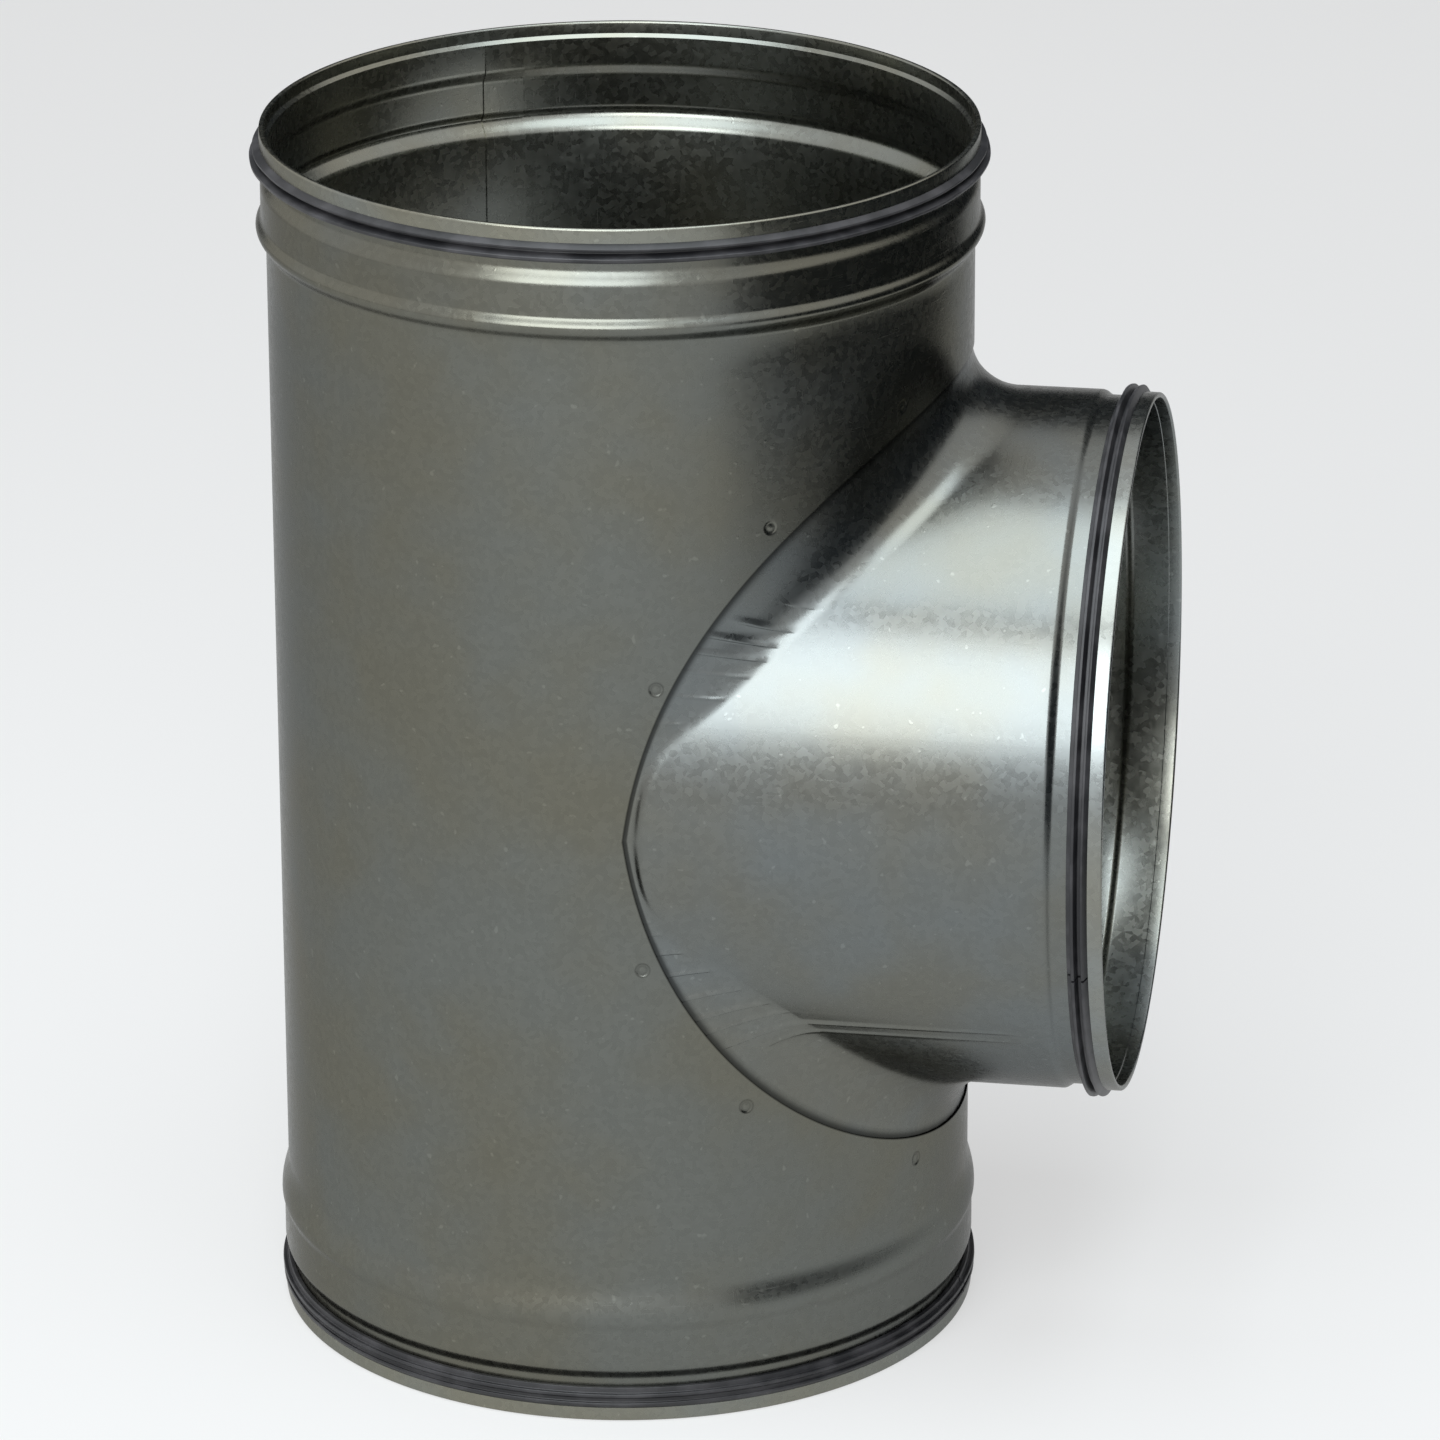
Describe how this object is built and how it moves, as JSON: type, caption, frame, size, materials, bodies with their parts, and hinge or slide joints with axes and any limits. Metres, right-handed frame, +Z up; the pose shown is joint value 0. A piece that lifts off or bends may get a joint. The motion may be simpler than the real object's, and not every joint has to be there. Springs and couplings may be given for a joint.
{
  "type": "duct tee",
  "caption": "Round sheet-metal duct tee of equal bores: a straight tube with a pressed saddle branch, each end a spigot with a stop, a folded hem and a double-lip rubber seal.",
  "frame": {"origin": "on the main tube's axis, in the plane of its lower rim", "axes": "+Z up along the main tube, +X along the branch towards its rim"},
  "size_m": [0.3945, 0.323, 0.55],
  "materials": {
    "main_sheet": "hot-dip galvanised, fine spangle, lightly scratched",
    "branch_sheet": "hot-dip galvanised, fine spangle, rubbed by the press",
    "rubber_top": "satin black",
    "rubber_bottom": "satin black",
    "rubber_branch": "satin black"
  },
  "bodies": {
    "root": {"main_tube": "main_sheet", "branch_saddle": "branch_sheet", "gasket_top": "rubber_top", "gasket_bottom": "rubber_bottom", "gasket_branch": "rubber_branch"}
  },
  "joints": []
}
